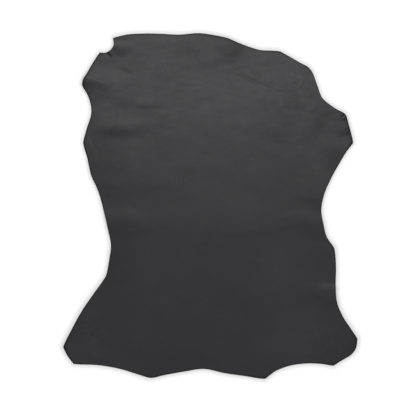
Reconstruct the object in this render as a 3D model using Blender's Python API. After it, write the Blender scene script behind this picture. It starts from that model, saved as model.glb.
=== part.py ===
"""A whole tanned skin laid flat, grain side up: one thin leather sheet with low folds in it.

Lengths are in metres. +X runs across the skin, +Y runs along the backbone towards the neck and +Z is up.
The flesh side rests on the plane z = 0 wherever no fold lifts it.
"""

import math

import bmesh
import bpy
from mathutils import Vector

MM = 0.001

# The leather has been split to one thickness all over.
THICKNESS = 1.2 * MM

# The outline is cut freehand. It is read clockwise from the notch at the left of the neck, in millimetres:
# (across, along, softness). Softness is 0 at a crisp cut corner and 1 where the edge runs smoothly through.
NECK_EDGE = [
    (-272, 470, 0.1),
    (-239, 479, 1.0),
    (-183, 483, 1.0),
    (-135, 482, 1.0),
    (-85, 480, 1.0),
    (-29, 484, 1.0),
    (13, 478, 1.0),
    (48, 470, 0.8),
    (83, 455, 1.0),
    (139, 437, 0.6),
    (195, 433, 0.4),
]
RIGHT_SHOULDER = [
    (223, 418, 1.0),
    (252, 401, 1.0),
    (274, 389, 1.0),
    (284, 378, 0.7),
    (299, 340, 1.0),
    (313, 304, 0.8),
    (349, 274, 1.0),
    (379, 256, 0.8),
    (388, 227, 0.9),
    (400, 177, 0.2),
]
RIGHT_WAIST = [
    (383, 155, 0.8),
    (359, 115, 1.0),
    (336, 73, 1.0),
    (318, 31, 1.0),
    (311, -11, 1.0),
    (317, -53, 1.0),
    (325, -84, 0.9),
    (347, -118, 0.4),
    (352, -174, 1.0),
    (351, -216, 1.0),
    (353, -263, 0.8),
    (369, -305, 1.0),
]
RIGHT_HIP = [
    (398, -350, 1.0),
    (412, -372, 0.3),
    (405, -404, 0.9),
    (395, -416, 0.5),
    (364, -435, 1.0),
    (345, -447, 0.2),
]
RUMP_EDGE = [
    (311, -442, 1.0),
    (265, -441, 1.0),
    (209, -451, 1.0),
    (181, -463, 0.8),
    (153, -484, 0.2),
    (97, -476, 1.0),
    (41, -468, 1.0),
    (-20, -456, 1.0),
    (-71, -463, 1.0),
    (-127, -473, 1.0),
    (-169, -481, 0.9),
    (-197, -473, 0.9),
    (-253, -456, 1.0),
    (-309, -446, 1.0),
]
LEFT_HIP = [
    (-383, -442, 0.1),
    (-402, -416, 1.0),
    (-412, -395, 0.2),
    (-389, -347, 1.0),
    (-358, -291, 1.0),
    (-328, -247, 1.0),
    (-292, -195, 0.5),
]
LEFT_WAIST = [
    (-283, -151, 1.0),
    (-278, -112, 0.8),
    (-286, -67, 1.0),
    (-299, -11, 1.0),
    (-315, 45, 1.0),
    (-334, 88, 0.6),
    (-343, 129, 1.0),
    (-356, 178, 0.5),
]
LEFT_SHOULDER = [
    (-347, 213, 1.0),
    (-333, 266, 1.0),
    (-342, 308, 1.0),
    (-359, 340, 0.4),
    (-356, 353, 1.0),
    (-348, 367, 1.0),
    (-324, 409, 1.0),
    (-309, 430, 0.2),
    (-295, 429, 1.0),
    (-280, 436, 0.8),
    (-270, 451, 0.8),
]
OUTLINE = (
    NECK_EDGE + RIGHT_SHOULDER + RIGHT_WAIST + RIGHT_HIP + RUMP_EDGE + LEFT_HIP + LEFT_WAIST + LEFT_SHOULDER
)
OUTLINE_STEP = 13 * MM

# Each fold is a low ridge with a rounded crest that runs from one place to another, in millimetres:
# (name, from (across, along), to (across, along), bow, height, width on its left, width on its right,
#  fade at the start, fade at the end).
# Bow shifts the middle of the crest to its left. Left and right are as seen walking from start to end.
# A fade of 0 lets the fold run off the cut edge, which it lifts. As a fold fades it also narrows, down to
# the share NARROWEST of its widths.
FOLDS = [
    ("notch lip", (-284, 458), (-206, 440), 0, 3.4, 26, 42, 0, 50),
    ("neck swell", (98, 486), (26, 400), 0, 2.6, 50, 90, 0, 46),
    ("crisp corner", (-372, 364), (-184, 352), -12, 3.2, 40, 90, 20, 80),
    ("corner droop", (-372, 366), (-262, 334), 0, 3.0, 18, 36, 0, 90),
    ("upper shoulder", (-276, 293), (-118, 284), 0, 1.3, 54, 20, 40, 60),
    ("shoulder fold", (-352, 222), (-150, 220), 0, 3.6, 52, 38, 70, 96),
    ("left edge smudge", (-358, 118), (-300, 120), 0, 0.6, 34, 22, 0, 28),
    ("left flank", (-345, 72), (-78, 60), 5, 2.2, 110, 56, 0, 160),
    ("left waist", (-318, -42), (-124, -70), 12, 2.8, 52, 58, 0, 120),
    ("waist line", (-186, -52), (280, -48), -26, 0.3, 90, 18, 60, 80),
    ("right waist", (150, -68), (330, -50), 26, 1.9, 36, 60, 170, 0),
    ("right flank", (216, 30), (336, 25), 0, 1.9, 90, 36, 80, 0),
    ("elbow", (280, 166), (408, 160), 3, 1.3, 40, 50, 80, 0),
    ("upper right corner", (334, 252), (398, 250), 0, 0.4, 24, 20, 26, 0),
    ("lower right corner", (334, 221), (404, 226), 0, 0.6, 20, 28, 30, 0),
    ("outer flank furrow", (330, 300), (240, 172), -6, 1.0, 44, 90, 60, 45),
    ("inner flank furrow", (222, 316), (150, 178), 8, 1.0, 44, 90, 70, 50),
    ("left loin", (-302, -128), (-236, -130), 0, 0.8, 50, 46, 0, 36),
    ("right loin", (240, -130), (360, -126), 0, 0.9, 40, 72, 60, 0),
    ("hip pucker", (288, -226), (362, -241), 0, 3.7, 23, 70, 46, 0),
    ("hip crease", (254, -226), (362, -274), -2, 1.2, 36, 13, 30, 0),
]
NARROWEST = 0.45

# The sheet is meshed in wide flat cells, and again in narrow ones where a fold lifts it.
FLAT_CELL = 48 * MM
FOLD_CELL = 12 * MM
PLACES_TRIED = 5
RAISED = 0.05 * MM
SNAP = 0.01 * MM
SLIVER = 1.5 * MM

LEATHER_COLOUR = (0.034, 0.034, 0.036, 1.0)
LEATHER_ROUGHNESS = 0.55


def clear_scene():
    for item in list(bpy.data.objects):
        bpy.data.objects.remove(item, do_unlink=True)


def smooth_directions(knots):
    """Direction of the edge at each knot, leaning towards the chord to its nearer neighbour."""
    directions = []
    for index, knot in enumerate(knots):
        before = knot - knots[index - 1]
        after = knots[(index + 1) % len(knots)] - knot
        blend = before.normalized() * after.length + after.normalized() * before.length
        directions.append(blend.normalized())
    return directions


def outline_points():
    """Points along the cut edge: a cubic between each two knots, bent less where a knot is crisp."""
    knots = [Vector((across, along)) * MM for across, along, softness in OUTLINE]
    softness = [row[2] for row in OUTLINE]
    directions = smooth_directions(knots)
    points = []
    for index, start in enumerate(knots):
        following = (index + 1) % len(knots)
        chord = knots[following] - start
        straight = chord.normalized()
        leaving = directions[index] * softness[index] + straight * (1 - softness[index])
        arriving = directions[following] * softness[following] + straight * (1 - softness[following])
        pieces = max(1, round(chord.length / OUTLINE_STEP))
        for piece in range(pieces):
            t = piece / pieces
            points.append(
                start * (2 * t**3 - 3 * t**2 + 1)
                + leaving * chord.length * (t**3 - 2 * t**2 + t)
                + knots[following] * (3 * t**2 - 2 * t**3)
                + arriving * chord.length * (t**3 - t**2)
            )
    return points


def ease(value):
    """Smooth rise from 0 to 1."""
    value = min(max(value, 0.0), 1.0)
    return value * value * (3 - 2 * value)


def fold_height(fold, place):
    """Height of one fold: a raised cosine across its crest. It fades and narrows towards the ends that stay
    inside the skin."""
    name, start, end, bow, height, left_width, right_width, fade_start, fade_end = fold
    run = Vector(end) - Vector(start)
    forward = run.normalized()
    offset = place / MM - Vector(start)
    travelled = offset.dot(forward)
    share = travelled / run.length
    if not 0 < share < 1:
        return 0.0
    fade = 1.0
    if fade_start:
        fade *= ease(travelled / fade_start)
    if fade_end:
        fade *= ease((run.length - travelled) / fade_end)
    sideways = forward.x * offset.y - forward.y * offset.x - bow * math.sin(math.pi * share) ** 2
    width = (left_width if sideways > 0 else right_width) * (NARROWEST + (1 - NARROWEST) * fade)
    if abs(sideways) >= width:
        return 0.0
    return height * MM * fade * (1 + math.cos(math.pi * sideways / width)) / 2


def lift(place):
    """How far the flesh side stands above the surface under the skin."""
    return sum(fold_height(fold, place) for fold in FOLDS)


def steepness(place):
    """Length of a sloping stretch of sheet over its length seen from above."""
    step = MM
    rise_across = lift(place + Vector((step, 0))) - lift(place - Vector((step, 0)))
    rise_along = lift(place + Vector((0, step))) - lift(place - Vector((0, step)))
    return math.sqrt(1 + (rise_across**2 + rise_along**2) / (2 * step) ** 2)


def flat_sheet(points):
    """One flat face inside the outline, with a mark that says which faces a cut goes through."""
    mesh = bmesh.new()
    mesh.faces.layers.int.new("marked")
    mesh.faces.new([mesh.verts.new((point.x, point.y, 0)) for point in points])
    return mesh


def face_box(face):
    """Low and high corner of a face, seen from above."""
    across = [vert.co.x for vert in face.verts]
    along = [vert.co.y for vert in face.verts]
    return Vector((min(across), min(along))), Vector((max(across), max(along)))


def is_folded(face):
    """True where a fold raises the sheet at one of the places tried over the face's box."""
    low, high = face_box(face)
    shares = [step / PLACES_TRIED for step in range(PLACES_TRIED + 1)]
    for share_across in shares:
        for share_along in shares:
            place = Vector((low.x + (high.x - low.x) * share_across, low.y + (high.y - low.y) * share_along))
            if lift(place) > RAISED:
                return True
    return False


def cut_marked(mesh, axis, position):
    """Cut the marked faces along one straight line across the sheet."""
    marked = mesh.faces.layers.int["marked"]
    faces = []
    for face in mesh.faces:
        low, high = face_box(face)
        if face[marked] and low[axis] < position < high[axis]:
            faces.append(face)
    if not faces:
        return
    edges = {edge for face in faces for edge in face.edges}
    verts = {vert for face in faces for vert in face.verts}
    normal = Vector((1, 0, 0)) if axis == 0 else Vector((0, 1, 0))
    pieces = faces + list(edges) + list(verts)
    bmesh.ops.bisect_plane(mesh, geom=pieces, dist=SNAP, plane_co=normal * position, plane_no=normal)


def cut_into_cells(mesh, points):
    """Cut the whole sheet into wide cells, then cut only the folded ones into narrow cells."""
    marked = mesh.faces.layers.int["marked"]
    for cell in (FLAT_CELL, FOLD_CELL):
        for face in mesh.faces:
            face[marked] = 1 if cell == FLAT_CELL or is_folded(face) else 0
        for axis in (0, 1):
            low = min(point[axis] for point in points)
            high = max(point[axis] for point in points)
            for index in range(1, math.ceil((high - low) / cell)):
                cut_marked(mesh, axis, low + index * cell)


def folded_sheet(mesh):
    """Raise the flat mesh into its folds, then give it the leather's thickness, square to its slope."""
    bmesh.ops.remove_doubles(mesh, verts=mesh.verts, dist=SLIVER)
    bmesh.ops.triangulate(mesh, faces=mesh.faces, quad_method="BEAUTY", ngon_method="BEAUTY")
    flesh_side = list(mesh.faces)
    grain_side = bmesh.ops.extrude_face_region(mesh, geom=flesh_side, use_keep_orig=True)["geom"]
    raised = {item for item in grain_side if isinstance(item, bmesh.types.BMVert)}
    for vert in mesh.verts:
        place = vert.co.xy
        vert.co.z = lift(place)
        if vert in raised:
            vert.co.z += THICKNESS * steepness(place)
    bmesh.ops.recalc_face_normals(mesh, faces=mesh.faces)


def centre_outline(mesh):
    """Put the middle of the outline at the origin."""
    across = [vert.co.x for vert in mesh.verts]
    along = [vert.co.y for vert in mesh.verts]
    middle = Vector((min(across) + max(across), min(along) + max(along), 0)) / 2
    bmesh.ops.translate(mesh, verts=mesh.verts, vec=-middle)


def leather_material():
    material = bpy.data.materials.new("leather")
    material.use_nodes = True
    shader = material.node_tree.nodes["Principled BSDF"]
    shader.inputs["Base Color"].default_value = LEATHER_COLOUR
    shader.inputs["Roughness"].default_value = LEATHER_ROUGHNESS
    return material


def build_hide():
    points = outline_points()
    mesh = flat_sheet(points)
    cut_into_cells(mesh, points)
    folded_sheet(mesh)
    centre_outline(mesh)
    data = bpy.data.meshes.new("hide")
    mesh.to_mesh(data)
    mesh.free()
    data.materials.append(leather_material())
    hide = bpy.data.objects.new("hide", data)
    bpy.context.scene.collection.objects.link(hide)


clear_scene()
build_hide()
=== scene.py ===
"""A whole tanned skin, dyed anthracite, lying grain side up on a pale table, seen from straight above."""

import math

import bpy
import numpy as np
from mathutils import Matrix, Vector


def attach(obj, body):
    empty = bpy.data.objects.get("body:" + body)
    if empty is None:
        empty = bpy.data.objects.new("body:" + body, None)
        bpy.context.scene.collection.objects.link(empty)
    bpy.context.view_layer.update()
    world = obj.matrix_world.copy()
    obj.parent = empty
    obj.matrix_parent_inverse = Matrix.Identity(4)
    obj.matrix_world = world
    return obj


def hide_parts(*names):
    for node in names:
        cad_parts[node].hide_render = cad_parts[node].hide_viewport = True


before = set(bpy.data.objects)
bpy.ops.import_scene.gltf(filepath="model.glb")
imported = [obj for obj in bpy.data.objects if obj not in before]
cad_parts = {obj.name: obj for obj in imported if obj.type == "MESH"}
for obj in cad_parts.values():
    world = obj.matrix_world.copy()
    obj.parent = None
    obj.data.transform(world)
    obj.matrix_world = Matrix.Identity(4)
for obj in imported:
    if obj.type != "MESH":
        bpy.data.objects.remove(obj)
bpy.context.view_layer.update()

# The cut edge. The tanner trimmed the skin freehand with a knife round its neck, shoulders, waist, hips and
# rump, so no two stretches match.
MM = 0.001

# The edge is read clockwise from the notch at the left of the neck, in millimetres: (across, along,
# softness). Softness is 0 at a crisp corner and 1 where the cut runs on.
neck_edge = [
    (-272, 470, 0.1), (-239, 479, 1.0), (-183, 483, 1.0), (-135, 482, 1.0), (-85, 480, 1.0), (-29, 484, 1.0),
    (13, 478, 1.0), (48, 470, 0.8), (83, 455, 1.0), (139, 437, 0.6), (195, 433, 0.4), (223, 418, 1.0),
    (252, 401, 1.0), (274, 389, 1.0),
]
right_edge = [
    (284, 378, 0.7), (299, 340, 1.0), (313, 304, 0.8), (349, 274, 1.0), (379, 256, 0.8), (388, 227, 0.9),
    (400, 177, 0.2), (383, 155, 0.8), (359, 115, 1.0), (336, 73, 1.0), (318, 31, 1.0), (311, -11, 1.0),
    (317, -53, 1.0), (325, -84, 0.9), (347, -118, 0.4), (352, -174, 1.0), (351, -216, 1.0), (353, -263, 0.8),
    (369, -305, 1.0), (398, -350, 1.0), (412, -372, 0.3), (405, -404, 0.9),
]
rump_edge = [
    (395, -416, 0.5), (364, -435, 1.0), (345, -447, 0.2), (311, -442, 1.0), (265, -441, 1.0),
    (209, -451, 1.0), (181, -463, 0.8), (153, -484, 0.2), (97, -476, 1.0), (41, -468, 1.0), (-20, -456, 1.0),
    (-71, -463, 1.0), (-127, -473, 1.0), (-169, -481, 0.9), (-197, -473, 0.9), (-253, -456, 1.0),
    (-309, -446, 1.0),
]
left_edge = [
    (-383, -442, 0.1), (-402, -416, 1.0), (-412, -395, 0.2), (-389, -347, 1.0), (-358, -291, 1.0),
    (-328, -247, 1.0), (-292, -195, 0.5), (-283, -151, 1.0), (-278, -112, 0.8), (-286, -67, 1.0),
    (-299, -11, 1.0), (-315, 45, 1.0), (-334, 88, 0.6), (-343, 129, 1.0), (-356, 178, 0.5), (-347, 213, 1.0),
    (-333, 266, 1.0), (-342, 308, 1.0), (-359, 340, 0.4), (-356, 353, 1.0), (-348, 367, 1.0),
    (-324, 409, 1.0), (-309, 430, 0.2), (-295, 429, 1.0), (-280, 436, 0.8), (-270, 451, 0.8),
]
cells_across = 180
cells_along = 236


def cut_curves(knots, fineness=24):
    """The edge as one row of points for each stretch between two knots: start * (2t^3 - 3t^2 + 1)
    + leaving * (t^3 - 2t^2 + t) + end * (3t^2 - 2t^3) + arriving * (t^3 - t^2), with t from 0 to 1. The
    directions lean towards the nearer neighbour, and towards the straight chord as softness falls."""
    place = knots[:, :2] * MM
    soft = knots[:, 2:3]
    chord = np.roll(place, -1, axis=0) - place
    length = np.linalg.norm(chord, axis=1, keepdims=True)
    straight = chord / length
    through = np.roll(straight, 1, axis=0) * length + straight * np.roll(length, 1, axis=0)
    through /= np.linalg.norm(through, axis=1, keepdims=True)
    leaving = length * (through * soft + straight * (1 - soft))
    soft_next = np.roll(soft, -1, axis=0)
    arriving = length * (np.roll(through, -1, axis=0) * soft_next + straight * (1 - soft_next))
    t = np.linspace(0, 1, fineness + 1)[:, None, None]
    curves = (
        place * (2 * t**3 - 3 * t**2 + 1)
        + leaving * (t**3 - 2 * t**2 + t)
        + (place + chord) * (3 * t**2 - 2 * t**3)
        + arriving * (t**3 - t**2)
    )
    return curves.transpose(1, 0, 2)


def evenly_along(curves, first, last, cells):
    """Points at equal lengths along the stretches from knot first up to knot last."""
    points = curves[first:last].reshape(-1, 2)
    walked = np.concatenate(([0], np.cumsum(np.linalg.norm(np.diff(points, axis=0), axis=1))))
    wanted = np.linspace(0, walked[-1], cells + 1)
    return np.stack([np.interp(wanted, walked, points[:, axis]) for axis in (0, 1)], axis=1)


edges = (neck_edge, right_edge, rump_edge, left_edge)
neck_end, right_end, rump_end, left_end = np.cumsum([len(edge) for edge in edges])
curves = cut_curves(np.concatenate(edges).astype(float))
curves -= (curves.reshape(-1, 2).min(axis=0) + curves.reshape(-1, 2).max(axis=0)) / 2
neck_points = evenly_along(curves, 0, neck_end, cells_across)
right_points = evenly_along(curves, neck_end, right_end, cells_along)
rump_points = evenly_along(curves, right_end, rump_end, cells_across)[::-1]
left_points = evenly_along(curves, rump_end, left_end, cells_along)[::-1]

# The spread of the skin. Between its four sides the leather is one unbroken sheet, stretched flat by the
# tanner on a frame, so the sheet is a grid of near square cells that follows every bend of the cut edge.


def spread_between(neck, right, rump, left, rounds=500):
    """Place of each grid point, with u running across and v from the neck to the rump. It starts as the mix
    of opposite sides less the mix of the four corners. Then each inner point moves to the mean of its
    neighbours, weighted by the squared size of the cells on the other axis, so that no cell folds over."""
    u = np.linspace(0, 1, len(neck))[None, :, None]
    v = np.linspace(0, 1, len(left))[:, None, None]
    place = (1 - u) * left[:, None] + u * right[:, None] + (1 - v) * neck[None] + v * rump[None]
    place -= (1 - v) * ((1 - u) * neck[0] + u * neck[-1]) + v * ((1 - u) * rump[0] + u * rump[-1])
    for _ in range(rounds):
        step_across = (place[1:-1, 2:] - place[1:-1, :-2]) / 2
        step_along = (place[2:, 1:-1] - place[:-2, 1:-1]) / 2
        stretch_across = (step_across**2).sum(axis=2, keepdims=True)
        stretch_along = (step_along**2).sum(axis=2, keepdims=True)
        shear = (step_across * step_along).sum(axis=2, keepdims=True)
        twist = place[2:, 2:] - place[2:, :-2] - place[:-2, 2:] + place[:-2, :-2]
        place[1:-1, 1:-1] = (
            stretch_along * (place[1:-1, 2:] + place[1:-1, :-2])
            + stretch_across * (place[2:, 1:-1] + place[:-2, 1:-1])
            - shear * twist / 2
        ) / (2 * (stretch_across + stretch_along))
    return place


spread = spread_between(neck_points, right_points, rump_points, left_points)
across = spread[:, :, 0]
along = spread[:, :, 1]

# The folds. The skin was rolled for storage and still lies in low waves, strongest at its left shoulder,
# across its waist and at its right hip.

# Each is a rounded ridge, in millimetres: (name, from, to, bow, height, width on its left, width on its
# right, fade at the start, fade at the end). A fade of 0 runs off the cut edge and lifts it.
folds = [
    ("notch lip", (-284, 458), (-206, 440), 0, 3.4, 26, 42, 0, 50),
    ("neck swell", (98, 486), (26, 400), 0, 2.6, 50, 90, 0, 46),
    ("crisp corner", (-372, 364), (-184, 352), -12, 3.2, 40, 90, 20, 80),
    ("corner droop", (-372, 366), (-262, 334), 0, 3.0, 18, 36, 0, 90),
    ("upper shoulder", (-276, 293), (-118, 284), 0, 1.3, 54, 20, 40, 60),
    ("shoulder fold", (-352, 222), (-150, 220), 0, 3.6, 52, 38, 70, 96),
    ("left edge smudge", (-358, 118), (-300, 120), 0, 0.6, 34, 22, 0, 28),
    ("left flank", (-345, 72), (-78, 60), 5, 2.2, 110, 56, 0, 160),
    ("left waist", (-318, -42), (-124, -70), 12, 2.8, 52, 58, 0, 120),
    ("waist line", (-186, -52), (280, -48), -26, 0.3, 90, 18, 60, 80),
    ("right waist", (150, -68), (330, -50), 26, 1.9, 36, 60, 170, 0),
    ("right flank", (216, 30), (336, 25), 0, 1.9, 90, 36, 80, 0),
    ("elbow", (280, 166), (408, 160), 3, 1.3, 40, 50, 80, 0),
    ("upper right corner", (334, 252), (398, 250), 0, 0.4, 24, 20, 26, 0),
    ("lower right corner", (334, 221), (404, 226), 0, 0.6, 20, 28, 30, 0),
    ("outer flank furrow", (330, 300), (240, 172), -6, 1.0, 44, 90, 60, 45),
    ("inner flank furrow", (222, 316), (150, 178), 8, 1.0, 44, 90, 70, 50),
    ("left loin", (-302, -128), (-236, -130), 0, 0.8, 50, 46, 0, 36),
    ("right loin", (240, -130), (360, -126), 0, 0.9, 40, 72, 60, 0),
    ("hip pucker", (288, -226), (362, -241), 0, 3.7, 23, 70, 46, 0),
    ("hip crease", (254, -226), (362, -274), -2, 1.2, 36, 13, 30, 0),
]
narrowest = 0.45


def ease(value):
    """Smooth rise from 0 to 1: 3x^2 - 2x^3."""
    value = np.clip(value, 0, 1)
    return value * value * (3 - 2 * value)


def beside(start, end, bow, fade_start, fade_end, x, y):
    """How far x and y lie to the left of a bowed line from start to end, and how much of its strength is
    left there: 1 in the middle of its length, easing to 0 over the fades, and 0 past its ends."""
    run = np.subtract(end, start) * MM
    length = np.hypot(*run)
    forward = run / length
    travelled = (x - start[0] * MM) * forward[0] + (y - start[1] * MM) * forward[1]
    share = np.clip(travelled / length, 0, 1)
    sideways = (y - start[1] * MM) * forward[0] - (x - start[0] * MM) * forward[1]
    sideways -= bow * MM * np.sin(np.pi * share) ** 2
    fade = ((share > 0) & (share < 1)).astype(float)
    if fade_start:
        fade = fade * ease(travelled / (fade_start * MM))
    if fade_end:
        fade = fade * ease((length - travelled) / (fade_end * MM))
    return sideways, fade


def ridge(start, end, bow, height, left_width, right_width, fade_start, fade_end, x, y):
    """Height of a ridge at x and y, all in metres here. Across the crest it is a raised cosine,
    height * (1 + cos(pi * sideways / width)) / 2. Its height and width shrink with the fade, so a fold dies
    out to a point as a cone does."""
    sideways, fade = beside(start, end, bow, fade_start, fade_end, x, y)
    width = np.where(sideways > 0, left_width, right_width) * MM * (narrowest + (1 - narrowest) * fade)
    return height * MM * fade * (1 + np.cos(np.pi * np.clip(sideways / width, -1, 1))) / 2


def lift(x, y):
    """How far the flesh side stands above the table: the sum of all folds."""
    return sum(ridge(*fold[1:], x, y) for fold in folds)


flesh_height = lift(across, along)
slope_across = (lift(across + MM, along) - lift(across - MM, along)) / (2 * MM)
slope_along = (lift(across, along + MM) - lift(across, along - MM)) / (2 * MM)
steepness = np.sqrt(1 + slope_across**2 + slope_along**2)

# The relief of the grain side. The neck and shoulders are loose and creased where the animal bent, and the
# back and rump are tight and smooth. It is all in the top of the leather, some tenths of a millimetre high.
leather_thickness = 1.2 * MM

# A crease is a ridge or, where its height is below 0, a groove, in the same columns as the folds.
creases = [
    ("notch crest", (-272, 449), (-230, 445), 0, 0.4, 8, 12, 0, 16),
    ("corner crease", (-266, 400), (-206, 374), -5, -0.28, 7, 10, 40, 14),
    ("elbow valley", (346, 189), (396, 203), 0, -0.34, 16, 10, 30, 0),
    ("back line", (-15, -50), (-16, -180), 0, -0.10, 28, 28, 50, 50),
    ("flank line", (-120, 100), (-10, 96), 0, -0.16, 16, 20, 40, 40),
]


def waves(x, y, across_length, along_length, count, seed):
    """Sum of many plane waves at chance angles and phases, of about the given wavelengths across and along
    the skin, scaled to a spread of 1."""
    chance = np.random.default_rng(seed)
    angle = chance.uniform(0, 2 * np.pi, count)
    phase = chance.uniform(0, 2 * np.pi, count)
    size = chance.uniform(0.7, 1.4, count)
    total = np.zeros_like(x)
    for turn, start, scale in zip(angle, phase, size):
        waves_passed = x * math.cos(turn) / across_length + y * math.sin(turn) / along_length
        total += np.cos(2 * np.pi * scale * waves_passed + start)
    return total * math.sqrt(2 / count)


def patch(x, y, middle_across, middle_along, reach_across, reach_along, turn=0):
    """1 in the middle of an oval turned by so many degrees, easing to 0 at its rim: ease(1 - r), where r is
    the distance from the middle as a share of the reach that way."""
    cosine, sine = math.cos(math.radians(turn)), math.sin(math.radians(turn))
    right, up = x / MM - middle_across, y / MM - middle_along
    away = np.hypot((right * cosine + up * sine) / reach_across, (up * cosine - right * sine) / reach_along)
    return ease(1 - away)


# The skin is tight up to a line across its waist, and fully loose at its neck, in millimetres.
tight_up_to, loose_from = -80, 400
looseness = ease((along / MM - tight_up_to) / (loose_from - tight_up_to))
right_neck = patch(across, along, 225, 320, 150, 150)
creased = sum(ridge(*crease[1:], across, along) for crease in creases)

# The ripple of the loose skin: (name, height, wavelength across, wavelength along, how many waves, seed,
# share of it that is left where the skin is tight), in millimetres.
ripples = [
    ("broad ripple", 0.17, 90, 56, 36, 3, 0),
    ("middle ripple", 0.065, 34, 24, 40, 5, 0.15),
    ("fine ripple", 0.030, 15, 13, 40, 7, 0.15),
]
vein_depth = 0.08
vein_spacing = 30 * MM
vein_waves, vein_seed = 24, 11
relief = creased.copy()
for _, height, length_across, length_along, count, seed, tight_share in ripples:
    ripple = waves(across, along, length_across * MM, length_along * MM, count, seed)
    relief += height * MM * (tight_share + looseness) * ripple
veins = np.abs(waves(across, along, vein_spacing, vein_spacing, vein_waves, vein_seed))
relief -= vein_depth * MM * right_neck * veins

# The dye and the painted light. The leather is dyed evenly, and painted paler towards the neck as a sheen
# from the light beyond it, with a painted step of light on the neck side of the fold at the waist. Broad
# areas and clouds round the folds and creases are painted light and shade, partly uneven dye.
even_depth = 0.70
waist_height, waist_dip = -50, 30
dip_from, dip_from_over = -190, 130
dip_to, dip_to_over = 130, 150
# Painted light: the neck side of the waist fold is painted a step paler than the rump side.
painted_waist_step, painted_waist_step_over = 0.06, 16
# Painted sheen: paler towards the neck, as the light beyond the neck falls off towards the rump.
painted_neck_sheen, painted_neck_sheen_over = 0.32, 440
# Painted shade: grooves are painted darker and crease ridges paler, by their height.
painted_groove_shade = 0.6

# Where it is painted darker or, below 0, paler: mostly painted shade and painted light round the folds and
# creases, partly uneven dye. Each place is an oval, in millimetres, turned in degrees: (across, along, reach
# across, reach along, turn, how much darker). Broad areas come first, then clouds.
broad_areas = [
    (-330, 140, 140, 150, 0, 0.28),
    (-290, -110, 120, 260, 0, 0.15),
    (-110, -430, 130, 80, 0, 0.07),
    (-360, -400, 90, 70, 0, -0.10),
    (-30, 250, 140, 60, 0, -0.09),
    (0, 40, 120, 50, 0, -0.08),
    (60, 300, 260, 120, 0, -0.20),
    (112, -10, 140, 70, 0, -0.14),
    (200, -180, 150, 130, 0, -0.14),
    (250, -370, 170, 120, 0, -0.17),
    (230, 400, 90, 60, 0, -0.14),
    (350, 230, 70, 80, 0, 0.12),
]
neck_clouds = [
    (74, 450, 38, 76, -36, 0.40),
    (76, 434, 30, 18, 30, 0.16),
    (16, 471, 60, 16, -8, 0.18),
    (10, 396, 60, 24, 0, 0.12),
    (-158, 447, 64, 18, -6, 0.28),
    (158, 360, 50, 22, 0, -0.20),
    (128, 371, 17, 15, 0, 0.20),
    (102, 378, 22, 11, -30, -0.16),
    (78, 353, 44, 18, -20, -0.12),
    (254, 358, 14, 12, 0, -0.14),
    (245, 330, 28, 20, 0, -0.20),
    (240, 282, 36, 24, 0, 0.16),
    (110, 350, 70, 40, -20, -0.10),
    (210, 352, 44, 44, 0, -0.18),
    (170, 284, 120, 34, 0, 0.11),
    (272, 350, 40, 40, 0, -0.14),
    (216, 285, 40, 60, 0, 0.07),
    (-104, 282, 90, 24, 0, 0.14),
    (40, 260, 110, 24, 0, 0.14),
]
right_shoulder_clouds = [
    (294, 238, 38, 92, -30, 0.22),
    (206, 206, 34, 90, -32, 0.11),
    (330, 252, 26, 18, -10, 0.20),
    (246, 240, 28, 36, 0, 0.18),
    (258, 96, 32, 18, 0, -0.16),
    (286, 74, 30, 20, 0, 0.08),
    (302, 212, 26, 50, -30, 0.20),
    (346, 146, 44, 46, 0, 0.12),
    (374, 239, 36, 20, 20, 0.28),
    (394, 184, 14, 32, 0, 0.20),
    (344, 118, 60, 26, 51, 0.12),
]
notch_clouds = [
    (-256, 433, 46, 34, 0, 0.32),
    (-248, 469, 40, 10, 6, 0.40),
    (-252, 459, 40, 9, 4, -0.30),
    (-269, 445, 16, 14, 0, 0.34),
    (-190, 416, 40, 20, -10, -0.18),
    (-202, 452, 36, 10, 6, 0.20),
    (-200, 388, 34, 20, -20, 0.20),
    (-172, 366, 44, 26, 0, -0.20),
]
crisp_corner_clouds = [
    (-226, 364, 28, 12, 0, -0.20),
    (-274, 371, 58, 25, 0, -0.22),
    (-276, 354, 26, 14, -20, -0.12),
    (-334, 320, 60, 46, 0, 0.36),
    (-340, 363, 18, 8, -10, -0.24),
    (-350, 344, 22, 16, 0, 0.30),
    (-300, 320, 44, 30, -24, 0.09),
    (-226, 336, 50, 14, 4, 0.20),
    (-180, 338, 30, 18, 0, 0.12),
]
left_shoulder_clouds = [
    (-336, 238, 26, 30, 0, 0.18),
    (-290, 283, 40, 9, -6, -0.20),
    (-225, 236, 60, 14, -4, -0.16),
    (-175, 236, 50, 16, 0, -0.22),
    (-194, 280, 36, 10, 0, 0.16),
    (-255, 206, 50, 17, 0, 0.22),
    (-107, 244, 34, 16, 0, -0.20),
    (-188, 174, 56, 16, 0, -0.20),
    (-195, 130, 34, 34, 0, 0.10),
]
waist_clouds = [
    (-160, -42, 38, 10, -12, 0.14),
    (204, -37, 38, 10, 10, 0.14),
    (285, 14, 36, 14, 0, 0.10),
    (-226, -68, 44, 14, 0, -0.08),
    (-60, -16, 150, 44, 0, -0.06),
]
hip_clouds = [
    (-326, -376, 24, 26, 0, -0.14),
    (-336, -336, 28, 26, 0, -0.07),
    (268, -237, 24, 9, -24, -0.16),
    (300, -250, 28, 9, -30, 0.05),
    (326, -215, 34, 8, -4, -0.14),
]
shoulder_clouds = notch_clouds + crisp_corner_clouds + left_shoulder_clouds + right_shoulder_clouds
painted_shade_and_dye_places = broad_areas + neck_clouds + shoulder_clouds + waist_clouds + hip_clouds


def beyond_waist(x, y):
    """Millimetres to the neck side of the waist line, which dips towards the rump between two eases."""
    dip = ease((x / MM - dip_from) / dip_from_over) - ease((x / MM - dip_to) / dip_to_over)
    return y / MM - waist_height + waist_dip * dip


to_neck = beyond_waist(across, along)
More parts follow.
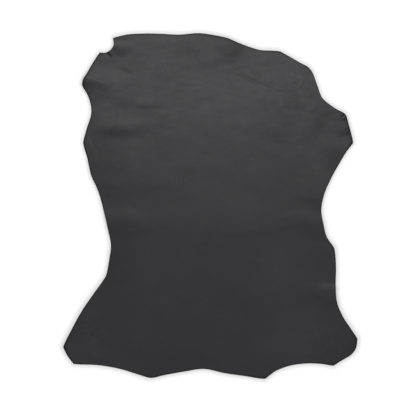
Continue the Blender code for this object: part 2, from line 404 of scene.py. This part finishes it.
# Even dye, less the painted step of light past the waist fold and the painted sheen towards the neck, with
# painted shade in the grooves.
dye_and_painted_light = even_depth - painted_waist_step * ease(to_neck / painted_waist_step_over)
dye_and_painted_light -= painted_neck_sheen * ease(to_neck / painted_neck_sheen_over)
dye_and_painted_light -= painted_groove_shade * creased / MM
# Painted shade and light, partly uneven dye, in ovals round the folds and creases.
for *place, darkening in painted_shade_and_dye_places:
    dye_and_painted_light += darkening * patch(across, along, *place)

# Stretch marks run down the left shoulder. The grain is veined in cells at the right of the neck and, more
# faintly, at the two lower corners.
neck_veins, corner_veins = 0.9, 0.65
growth_marks = patch(across, along, -292, 258, 56, 60)
lower_corners = patch(across, along, -330, -370, 80, 90) + patch(across, along, 335, -380, 110, 90)
cells = neck_veins * right_neck + corner_veins * lower_corners

# The fine wrinkles. Where the skin was pinched, its grain is creased in lines a few millimetres wide,
# painted dark as shade in the creases, a few painted pale. They stand out at the two shoulders, at the notch
# and across the neck.

# Each is a bowed line, in millimetres: (name, from, to, bow, half width, depth, fade at the start, fade at
# the end). A depth above 0 is painted shade, and a depth below 0 is painted pale.
wrinkles = [
    ("notch slot", (-294, 436), (-274, 417), 0, 4.6, 0.95, 6, 6),
    ("notch trace", (-322, 409), (-258, 400), -2, 6.0, 0.10, 16, 30),
    ("corner trace", (-274, 401), (-208, 369), -5, 6.0, 0.13, 60, 14),
    ("upper corner hair", (-346, 350), (-290, 318), 3, 3.0, 0.12, 20, 26),
    ("middle corner hair", (-334, 352), (-280, 336), -3, 3.0, 0.10, 16, 26),
    ("lower corner hair", (-340, 330), (-300, 306), 2, 3.0, 0.10, 14, 20),
    ("first stretch line", (-317, 288), (-317, 226), 1, 2.4, 0.12, 14, 20),
    ("second stretch line", (-310, 286), (-311, 226), -2, 2.4, 0.10, 14, 20),
    ("third stretch line", (-303, 284), (-305, 244), 1, 2.4, 0.08, 10, 20),
    ("fourth stretch line", (-281, 286), (-281, 228), 2, 2.4, 0.10, 14, 24),
    ("fifth stretch line", (-268, 284), (-262, 228), 6, 2.6, 0.14, 20, 16),
    ("edge scuff", (-345, 198), (-311, 140), -2, 6.0, -0.19, 10, 20),
    ("hook", (-297, 179), (-258, 146), -11, 3.6, 0.10, 12, 16),
    ("long neck crease", (52, 396), (222, 312), -8, 2.6, 0.19, 20, 44),
    ("crease below it", (78, 371), (142, 334), -2, 2.6, 0.14, 16, 22),
    ("crease above it", (134, 348), (190, 331), -2, 2.4, 0.11, 16, 20),
    ("large loop", (118, 346), (226, 366), 26, 9.0, 0.07, 28, 26),
    ("small loop", (236, 372), (266, 336), 16, 7.0, 0.05, 14, 14),
    ("upper nick", (360, 247), (385, 263), 0, 2.6, 0.95, 10, 3),
    ("upper nick lip", (362, 242), (384, 256), 0, 2.2, -0.40, 8, 3),
    ("upper nick shade", (358, 239), (388, 245), 0, 4.6, 0.50, 16, 3),
    ("lower nick", (373, 210), (396, 226), 0, 3.2, 0.75, 12, 3),
    ("lower nick shade", (376, 202), (398, 214), 0, 3.0, 0.35, 10, 4),
    ("lower nick tail", (344, 190), (392, 202), 1, 3.0, 0.22, 24, 6),
]

# Lines that lie side by side are kept in different sets, so that each can be drawn to its own middle.
line_sets = 3
line_held, line_ends = 1, 5
far_away = 3.0


def nearest_line(lines, x, y):
    """For each point, how far it lies beside the nearest of some lines, as a share of that line's half
    width, and the line's depth there. The depth is held for line_held millimetres past the half width and
    eases to 0 at line_ends, before the next line of the set takes over."""
    gap = np.full(x.shape, np.inf)
    share = np.full(x.shape, far_away)
    strength = np.zeros_like(x)
    for _, start, end, bow, half_width, depth, fade_start, fade_end in lines:
        sideways, fade = beside(start, end, bow, fade_start, fade_end, x, y)
        nearer = (fade > 0) & (np.abs(sideways) < gap)
        left_over = ease(((half_width + line_ends) * MM - np.abs(sideways)) / ((line_ends - line_held) * MM))
        gap = np.where(nearer, np.abs(sideways), gap)
        share = np.where(nearer, np.clip(sideways / (half_width * MM), -far_away, far_away), share)
        strength = np.where(nearer, depth * fade * left_over, strength)
    return share, strength


wrinkle_sets = [nearest_line(wrinkles[first::line_sets], across, along) for first in range(line_sets)]

# The sheet itself. Both sides and the knife-cut rim are one closed skin, split to 1.2 mm before its relief.
# The knife left the rim square to the leather, and handling has rounded its corners.
rim_round_top = 0.45 * MM
rim_round_bottom = 0.25 * MM
round_share = 0.3
grain_height = flesh_height + leather_thickness * steepness + relief
rows, columns = across.shape
numbers = np.arange(rows * columns).reshape(rows, columns)
rim = np.concatenate((numbers[0, :-1], numbers[:-1, -1], numbers[-1, :0:-1], numbers[:0:-1, 0]))


def inward_from(loop):
    """Unit step from each rim point into the skin: the rim's own direction turned a quarter right."""
    ahead = np.roll(loop, -1, axis=0) - np.roll(loop, 1, axis=0)
    ahead /= np.linalg.norm(ahead, axis=1, keepdims=True)
    return np.stack((ahead[:, 1], -ahead[:, 0]), axis=1)


def grid_faces(first, flip):
    """Four-cornered faces of one side of the sheet, numbered from its first point."""
    corner = numbers[:-1, :-1].ravel() + first
    around = np.stack((corner, corner + columns, corner + columns + 1, corner + 1), axis=1)
    return around[:, ::-1] if flip else around


def ring_faces(upper, lower):
    """Faces between two rings of points round the rim, facing out."""
    return np.stack((upper, np.roll(upper, -1), np.roll(lower, -1), lower), axis=1)


loop = spread.reshape(-1, 2)[rim]
inward = inward_from(loop)
top_height = grain_height.ravel()[rim]
bottom_height = flesh_height.ravel()[rim]
grain_points = np.column_stack((spread.reshape(-1, 2), grain_height.ravel()))
grain_points[rim, :2] += inward * rim_round_top
flesh_points = np.column_stack((spread.reshape(-1, 2), flesh_height.ravel()))
flesh_points[rim, :2] += inward * rim_round_bottom
round_step = rim_round_top * round_share
shoulder_points = np.column_stack((loop + inward * round_step, top_height - round_step))
upper_rim_points = np.column_stack((loop, top_height - rim_round_top))
lower_rim_points = np.column_stack((loop, bottom_height + rim_round_bottom))
points = np.concatenate((grain_points, flesh_points, shoulder_points, upper_rim_points, lower_rim_points))
grain_count = rows * columns
ring = np.arange(len(rim))
shoulder_ring = 2 * grain_count + ring
upper_ring = shoulder_ring + len(rim)
lower_ring = upper_ring + len(rim)
grain_side, flesh_side, cut_rim = 0, 1, 2
parts = [
    (grain_side, grid_faces(0, False)),
    (flesh_side, grid_faces(grain_count, True)),
    (grain_side, ring_faces(rim, shoulder_ring)),
    (cut_rim, ring_faces(shoulder_ring, upper_ring)),
    (cut_rim, ring_faces(upper_ring, lower_ring)),
    (flesh_side, ring_faces(lower_ring, rim + grain_count)),
]
faces = np.concatenate([part for _, part in parts])
finish_of_face = np.repeat([finish for finish, _ in parts], [len(part) for _, part in parts])
leather = bpy.data.meshes.new("leather_hide")
leather.from_pydata(points.tolist(), [], faces.tolist())
leather.polygons.foreach_set("use_smooth", np.ones(len(leather.polygons), dtype=bool))
hide = bpy.data.objects.new("leather_hide", leather)
bpy.context.scene.collection.objects.link(hide)

# What each point takes of the finish. The last few millimetres are dark, where the cut fibres lie open.
next_to_rim = 0.12
edge_wear = np.full((rows, columns), next_to_rim)
edge_wear[2:-2, 2:-2] = 0
edge_wear[[0, -1], :] = 1
edge_wear[:, [0, -1]] = 1


def keep_on_points(name, on_grain, on_rim):
    """One number for each point of the mesh: the given grid on the grain side, 0 on the flesh side, and one
    value along the three rings of the rim."""
    values = np.concatenate((np.ravel(on_grain), np.zeros(grain_count), np.full(3 * len(rim), on_rim)))
    leather.attributes.new(name, "FLOAT", "POINT").data.foreach_set("value", values)


keep_on_points("edge_wear", edge_wear, 1)
# The dye is kept together with the painted light and shade on it.
keep_on_points("dye_and_painted_light", dye_and_painted_light, 1)
keep_on_points("looseness", looseness, 0)
keep_on_points("growth_marks", growth_marks, 0)
keep_on_points("cells", cells, 0)
for number, (share, strength) in enumerate(wrinkle_sets):
    keep_on_points(f"wrinkle_share_{number}", share, 0)
    keep_on_points(f"wrinkle_depth_{number}", strength, 0)

# The grain side is full-grain leather, dyed through in anthracite and finished with a thin satin coat. Its
# pebble is a millimetre across, and the loose neck is mottled.


def new_finish(name):
    """An empty node material with its shader joined to the output."""
    material = bpy.data.materials.new(name)
    material.use_nodes = True
    nodes = material.node_tree.nodes
    nodes.clear()
    output = nodes.new("ShaderNodeOutputMaterial")
    shader = nodes.new("ShaderNodeBsdfPrincipled")
    material.node_tree.links.new(shader.outputs["BSDF"], output.inputs["Surface"])
    return material, nodes, material.node_tree.links, shader


def noise(nodes, links, place, scale, detail, roughness=0.5):
    """Cloudy noise from about 0.3 to 0.7. Its features are 1 / scale metres across, and each further level
    of detail halves them and weighs them by roughness."""
    texture = nodes.new("ShaderNodeTexNoise")
    texture.inputs["Scale"].default_value = scale
    texture.inputs["Detail"].default_value = detail
    texture.inputs["Roughness"].default_value = roughness
    links.new(place, texture.inputs["Vector"])
    return texture.outputs["Fac"]


def spread_value(nodes, links, value, low, high, start=0.3, end=0.7):
    """A value from start to end, spread in a straight line over low to high and held there beyond them."""
    mapped = nodes.new("ShaderNodeMapRange")
    mapped.inputs["From Min"].default_value = start
    mapped.inputs["From Max"].default_value = end
    mapped.inputs["To Min"].default_value = low
    mapped.inputs["To Max"].default_value = high
    links.new(value, mapped.inputs["Value"])
    return mapped.outputs["Result"]


def combine(nodes, links, operation, first, second):
    """The result of one arithmetic operation on two values, or on a value and a number."""
    maths = nodes.new("ShaderNodeMath")
    maths.operation = operation
    links.new(first, maths.inputs[0])
    if isinstance(second, (int, float)):
        maths.inputs[1].default_value = second
    else:
        links.new(second, maths.inputs[1])
    return maths.outputs["Value"]


def mix_colour(nodes, links, share, first, second):
    """first * (1 - share) + second * share, for two colours or the outputs that carry them."""
    mix = nodes.new("ShaderNodeMix")
    mix.data_type = "RGBA"
    for socket, colour in (("A", first), ("B", second)):
        if isinstance(colour, tuple):
            mix.inputs[socket].default_value = colour
        else:
            links.new(colour, mix.inputs[socket])
    links.new(share, mix.inputs["Factor"])
    return mix.outputs["Result"]


def kept_value(nodes, name):
    """The number that each point of the mesh keeps under this name."""
    attribute = nodes.new("ShaderNodeAttribute")
    attribute.attribute_name = name
    return attribute.outputs["Fac"]


def voronoi(nodes, links, place, scale, smoothness):
    """Distance from the middle of the nearest of many cells, 1 / scale metres apart, with soft borders."""
    texture = nodes.new("ShaderNodeTexVoronoi")
    texture.feature = "SMOOTH_F1"
    texture.inputs["Scale"].default_value = scale
    texture.inputs["Smoothness"].default_value = smoothness
    links.new(place, texture.inputs["Vector"])
    return texture.outputs["Distance"]


def stirred(nodes, links, place, scale, reach):
    """Places pushed aside on each axis by a cloudy noise of 0 to 1 times the reach, so that a pattern of
    equal cells runs together as marbling does."""
    texture = nodes.new("ShaderNodeTexNoise")
    texture.inputs["Scale"].default_value = scale
    links.new(place, texture.inputs["Vector"])
    pushed = nodes.new("ShaderNodeVectorMath")
    pushed.operation = "MULTIPLY_ADD"
    links.new(texture.outputs["Color"], pushed.inputs[0])
    pushed.inputs[1].default_value = (reach, reach, reach)
    links.new(place, pushed.inputs[2])
    return pushed.outputs["Vector"]


def stretched(nodes, links, place, scale):
    """Places multiplied by a scale on each axis, which draws a pattern out along the axis of least scale."""
    mapping = nodes.new("ShaderNodeMapping")
    mapping.inputs["Scale"].default_value = scale
    links.new(place, mapping.inputs["Vector"])
    return mapping.outputs["Vector"]


# Colours of the least and of the most dye, between which the painted light and shade is also mixed, and of
# the worn last millimetres.
anthracite_pale = (0.0338, 0.0338, 0.0362, 1)
anthracite_deep = (0.0058, 0.0058, 0.0074, 1)
worn_edge = (0.0030, 0.0030, 0.0034, 1)
mottle_when_tight, mottle_when_loose = 0.27, 1.25
mottle_drawn_across = (0.6, 1.05, 1)
stretch_line_shape = (150, 5, 1)
dulled_by_wear = 0.4
grain, nodes, links, shader = new_finish("satin_grain_leather")
place = nodes.new("ShaderNodeTexCoord").outputs["Object"]
# The kept value holds the dye and the painted light and shade: sheen, waist step, clouds and grooves.
dye_and_light_share = kept_value(nodes, "dye_and_painted_light")

# The mottle is drawn out across the skin, and is strongest where the skin is loose.
loose = kept_value(nodes, "looseness")
mottle_strength = spread_value(nodes, links, loose, mottle_when_tight, mottle_when_loose, start=0, end=1)
drawn_across = stretched(nodes, links, place, mottle_drawn_across)
broad_noise = noise(nodes, links, drawn_across, scale=15, detail=6, roughness=0.75)
broad_mottle = spread_value(nodes, links, broad_noise, -0.24, 0.24)
mottle = combine(nodes, links, "MULTIPLY", mottle_strength, broad_mottle)
dye_and_light_share = combine(nodes, links, "ADD", dye_and_light_share, mottle)

# The veins are the borders of small and large cells that run together.
marbled = stirred(nodes, links, place, scale=55, reach=36 * MM)
small_cells = voronoi(nodes, links, marbled, scale=105, smoothness=0.3)
small_cells = spread_value(nodes, links, small_cells, -0.13, 0.05, start=0.15, end=0.6)
large_cells = voronoi(nodes, links, marbled, scale=44, smoothness=0.1)
large_cells = spread_value(nodes, links, large_cells, -0.14, 0.10, start=0.15, end=0.6)
cell_shade = combine(nodes, links, "ADD", small_cells, large_cells)
veined = combine(nodes, links, "MULTIPLY", kept_value(nodes, "cells"), cell_shade)
dye_and_light_share = combine(nodes, links, "ADD", dye_and_light_share, veined)

# The stretch lines are a noise drawn out along the skin, and the wrinkles are painted dark in their middles
# as shade in the creases.
line_noise = noise(nodes, links, stretched(nodes, links, place, stretch_line_shape), scale=1, detail=2)
stretch_line = spread_value(nodes, links, line_noise, 0.28, 0, start=0.34, end=0.46)
stretch_line = combine(nodes, links, "MULTIPLY", kept_value(nodes, "growth_marks"), stretch_line)
dye_and_light_share = combine(nodes, links, "ADD", dye_and_light_share, stretch_line)
creases_and_painted_shade = None
for number in range(line_sets):
    away = combine(nodes, links, "ABSOLUTE", kept_value(nodes, f"wrinkle_share_{number}"), 0)
    line = spread_value(nodes, links, away, 1, 0, start=0, end=1)
    line = combine(nodes, links, "MULTIPLY", line, kept_value(nodes, f"wrinkle_depth_{number}"))
    creases_and_painted_shade = combine(nodes, links, "ADD", creases_and_painted_shade, line) if creases_and_painted_shade else line
dye_and_light_share = combine(nodes, links, "ADD", dye_and_light_share, creases_and_painted_shade)
dyed_and_painted = mix_colour(nodes, links, dye_and_light_share, anthracite_pale, anthracite_deep)
wear = kept_value(nodes, "edge_wear")
links.new(mix_colour(nodes, links, wear, dyed_and_painted, worn_edge), shader.inputs["Base Color"])

# The coat is satin, a little uneven, and dull at the edge and in the wrinkles.
coat_noise = noise(nodes, links, place, scale=35, detail=5, roughness=0.6)
satin = spread_value(nodes, links, coat_noise, 0.43, 0.49)
worn_places = combine(nodes, links, "ADD", wear, creases_and_painted_shade)
dulled = combine(nodes, links, "MULTIPLY", worn_places, dulled_by_wear)
links.new(combine(nodes, links, "ADD", satin, dulled), shader.inputs["Roughness"])
shader.inputs["Specular IOR Level"].default_value = 0.25

# The pebble stands up between its pores, and the stretch lines and wrinkles sink in.
fine_creasing = noise(nodes, links, place, scale=420, detail=3, roughness=0.6)
pebble = voronoi(nodes, links, place, scale=780, smoothness=0.6)
pebble = combine(nodes, links, "MULTIPLY", pebble, 0.7)
sunken = combine(nodes, links, "ADD", stretch_line, creases_and_painted_shade)
grain_relief = combine(nodes, links, "ADD", pebble, fine_creasing)
grain_relief = combine(nodes, links, "SUBTRACT", grain_relief, sunken)
bump = nodes.new("ShaderNodeBump")
bump.inputs["Strength"].default_value = 0.35
bump.inputs["Distance"].default_value = 0.12 * MM
links.new(grain_relief, bump.inputs["Height"])
links.new(bump.outputs["Normal"], shader.inputs["Normal"])

# The flesh side is the inside of the skin: dyed the same, left as matt, short-napped suede.
nap_dark = (0.030, 0.030, 0.032, 1)
nap_pale = (0.042, 0.042, 0.044, 1)
suede, nodes, links, shader = new_finish("flesh_side_suede")
place = nodes.new("ShaderNodeTexCoord").outputs["Object"]
nap_noise = noise(nodes, links, place, scale=60, detail=6, roughness=0.7)
nap_shade = spread_value(nodes, links, nap_noise, 0, 1)
nap = mix_colour(nodes, links, nap_shade, nap_dark, nap_pale)
links.new(nap, shader.inputs["Base Color"])
shader.inputs["Roughness"].default_value = 0.95
shader.inputs["Sheen Weight"].default_value = 0.25
fibres = nodes.new("ShaderNodeBump")
fibres.inputs["Strength"].default_value = 0.6
fibres.inputs["Distance"].default_value = 0.2 * MM
links.new(noise(nodes, links, place, scale=900, detail=4, roughness=0.7), fibres.inputs["Height"])
links.new(fibres.outputs["Normal"], shader.inputs["Normal"])

# The rim shows the cut through the leather: open fibres, dyed almost as dark as the grain.
fibre_dark = (0.010, 0.010, 0.011, 1)
fibre_pale = (0.026, 0.026, 0.027, 1)
cut_fibre, nodes, links, shader = new_finish("knife_cut_rim")
place = nodes.new("ShaderNodeTexCoord").outputs["Object"]
fibre_noise = noise(nodes, links, place, scale=1100, detail=4, roughness=0.7)
fibre_shade = spread_value(nodes, links, fibre_noise, 0, 1)
fibre = mix_colour(nodes, links, fibre_shade, fibre_dark, fibre_pale)
links.new(fibre, shader.inputs["Base Color"])
shader.inputs["Roughness"].default_value = 0.9

for finish in (grain, suede, cut_fibre):
    leather.materials.append(finish)
leather.polygons.foreach_set("material_index", finish_of_face.astype(np.int32))
leather.update()

# The skin stands for the modelled sheet. It lies loose on the table, held by nothing.
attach(hide, "root")
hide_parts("hide")

# The table is a white board, larger than the view, just under the skin, with a painted shadow round the
# skin. Its grid is fine round the skin, where each point keeps how much painted shade it takes, by its
# distance from the skin's edge.
table_half, table_middle, table_fine = 6.0, 1.5, 0.56
fine_line_count = 281
table_drop = 0.2 * MM
fine_lines = np.linspace(-table_fine, table_fine, fine_line_count)
table_lines = np.concatenate(([-table_half, -table_middle], fine_lines, [table_middle, table_half]))
table_across, table_along = np.meshgrid(table_lines, table_lines)
table_level = np.full(table_across.size, -table_drop)
table_points = np.column_stack((table_across.ravel(), table_along.ravel(), table_level))

# The light stands beyond the neck, so the skin's own shadow falls on the rump side. The painted shade is
# moved a little towards the neck, which evens the two out.
shade_reach = 29 * MM
shade_shift = 2.0 * MM
edge_parts = 8


def shade_round(points, edge, reach):
    """Squared ease from 1 at the cut edge to 0 at the reach, by the distance to the nearest edge point. The
    edge is taken in parts, which saves memory."""
    shade = np.zeros(len(points))
    near = np.abs(points).max(axis=1) < np.abs(edge).max() + reach
    away = np.full(near.sum(), np.inf)
    for part in np.array_split(edge, edge_parts):
        gap = points[near][:, None] - part[None]
        away = np.minimum(away, np.sqrt((gap**2).sum(axis=2)).min(axis=1))
    shade[near] = ease(1 - away / reach) ** 2
    return shade


line_count = len(table_lines)
cell = np.arange(line_count - 1)
table_corner = (cell[:, None] * line_count + cell[None]).ravel()
table_ring = (0, 1, line_count + 1, line_count)
table_faces = np.stack([table_corner + step for step in table_ring], axis=1)
table_mesh = bpy.data.meshes.new("table")
table_mesh.from_pydata(table_points.tolist(), [], table_faces.tolist())
edge_shade = shade_round(table_points[:, :2], loop + (0, shade_shift), shade_reach)
table_mesh.attributes.new("edge_shade", "FLOAT", "POINT").data.foreach_set("value", edge_shade)
table = bpy.data.objects.new("table", table_mesh)
bpy.context.scene.collection.objects.link(table)
board, nodes, links, shader = new_finish("white_board_painted_shade")
white = (0.97, 0.97, 0.97, 1)
# The grey of the painted shadow, right at the skin's edge.
shaded_white = (0.67, 0.67, 0.67, 1)
shaded = mix_colour(nodes, links, kept_value(nodes, "edge_shade"), white, shaded_white)
links.new(shaded, shader.inputs["Base Color"])
shader.inputs["Roughness"].default_value = 0.9
shader.inputs["Specular IOR Level"].default_value = 0.1
table_mesh.materials.append(board)

# The light is a long soft box beyond the neck, which gives the skin its sheen from the neck down, in a
# bright pale room.


def soft_box(name, place, aim, size, power):
    """An oblong area light at a place, turned to face its aim."""
    light = bpy.data.lights.new(name, "AREA")
    light.shape = "RECTANGLE"
    light.size, light.size_y = size
    light.energy = power
    lamp = bpy.data.objects.new(name, light)
    lamp.location = place
    lamp.rotation_euler = (Vector(aim) - Vector(place)).to_track_quat("-Z", "Y").to_euler()
    bpy.context.scene.collection.objects.link(lamp)


soft_box("neck_box", place=(0.0, 1.2, 2.6), aim=(0.0, 0.0, 0.0), size=(3.0, 1.4), power=40)
room = bpy.data.worlds.new("pale_room")
room.use_nodes = True
room.node_tree.nodes["Background"].inputs["Color"].default_value = (1, 1, 1, 1)
room.node_tree.nodes["Background"].inputs["Strength"].default_value = 0.8
bpy.context.scene.world = room
bpy.context.scene.view_settings.view_transform = "Standard"

# The camera hangs straight above the skin, a few millimetres off its middle, and sees 1.165 m each way.
field = 1.165
off_middle = (-6.4 * MM, -5.6 * MM)
lens = 85
sensor = 36
camera_data = bpy.data.cameras.new("camera")
camera_data.lens = lens
camera_data.sensor_width = sensor
camera = bpy.data.objects.new("camera", camera_data)
camera.location = (*off_middle, field * lens / sensor)
bpy.context.scene.collection.objects.link(camera)
bpy.context.scene.camera = camera
